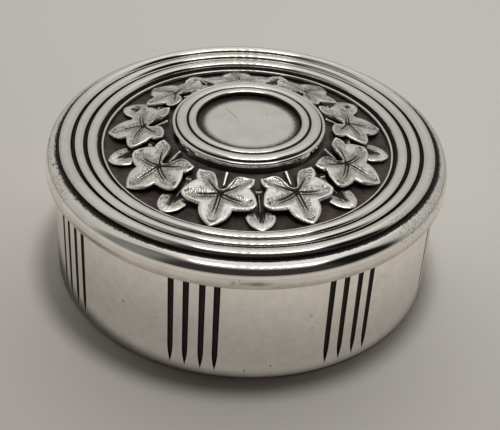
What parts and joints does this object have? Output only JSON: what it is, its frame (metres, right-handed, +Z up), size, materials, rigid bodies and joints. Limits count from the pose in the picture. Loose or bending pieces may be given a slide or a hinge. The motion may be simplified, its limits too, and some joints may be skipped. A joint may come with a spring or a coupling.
{
  "type": "round box with lid",
  "caption": "Low round silver box with an engraved wall and a lift-off lid that carries a reeded border, a wreath of ivy leaves and a turned central boss.",
  "frame": {"origin": "middle of the base, on the surface the box stands on", "axes": "+Z up along the axis of the box, -Y towards the front that the picture shows"},
  "size_m": [0.075, 0.075, 0.0314],
  "materials": {
    "polished_silver": "polished silver with fine hand wear and dark patina in its grooves",
    "satin_silver": "satin silver, stippled, with dark patina in its veins",
    "oxidised_silver": "matt brown-black oxidised silver"
  },
  "bodies": {
    "box": {"body_wall": "polished_silver", "base_plate": "polished_silver", "collar": "polished_silver"},
    "lid": {"lid_skirt": "polished_silver", "lid_border": "polished_silver", "lid_panel": "oxidised_silver", "boss_ring": "polished_silver", "cartouche_plate": "polished_silver", "ivy_leaf_1": "satin_silver", "ivy_leaf_2": "satin_silver", "ivy_leaf_3": "satin_silver", "ivy_leaf_4": "satin_silver", "ivy_leaf_5": "satin_silver", "ivy_leaf_6": "satin_silver", "ivy_leaf_7": "satin_silver", "ivy_leaf_8": "satin_silver", "ivy_leaf_9": "satin_silver", "leaf_stalk_1": "satin_silver", "leaf_stalk_2": "satin_silver", "leaf_stalk_3": "satin_silver", "leaf_stalk_4": "satin_silver", "leaf_stalk_5": "satin_silver", "leaf_stalk_6": "satin_silver", "leaf_stalk_7": "satin_silver", "leaf_stalk_8": "satin_silver", "leaf_stalk_9": "satin_silver", "small_leaf_1": "satin_silver", "small_leaf_2": "satin_silver", "small_leaf_3": "satin_silver", "small_leaf_4": "satin_silver", "small_leaf_5": "satin_silver", "small_leaf_6": "satin_silver", "small_leaf_7": "satin_silver", "small_leaf_8": "satin_silver", "small_leaf_9": "satin_silver"}
  },
  "joints": [
    {"name": "lid_lift", "type": "slide", "parent": "box", "child": "lid", "axis": [0, 0, 1], "range_m": [0, 0.06]}
  ]
}
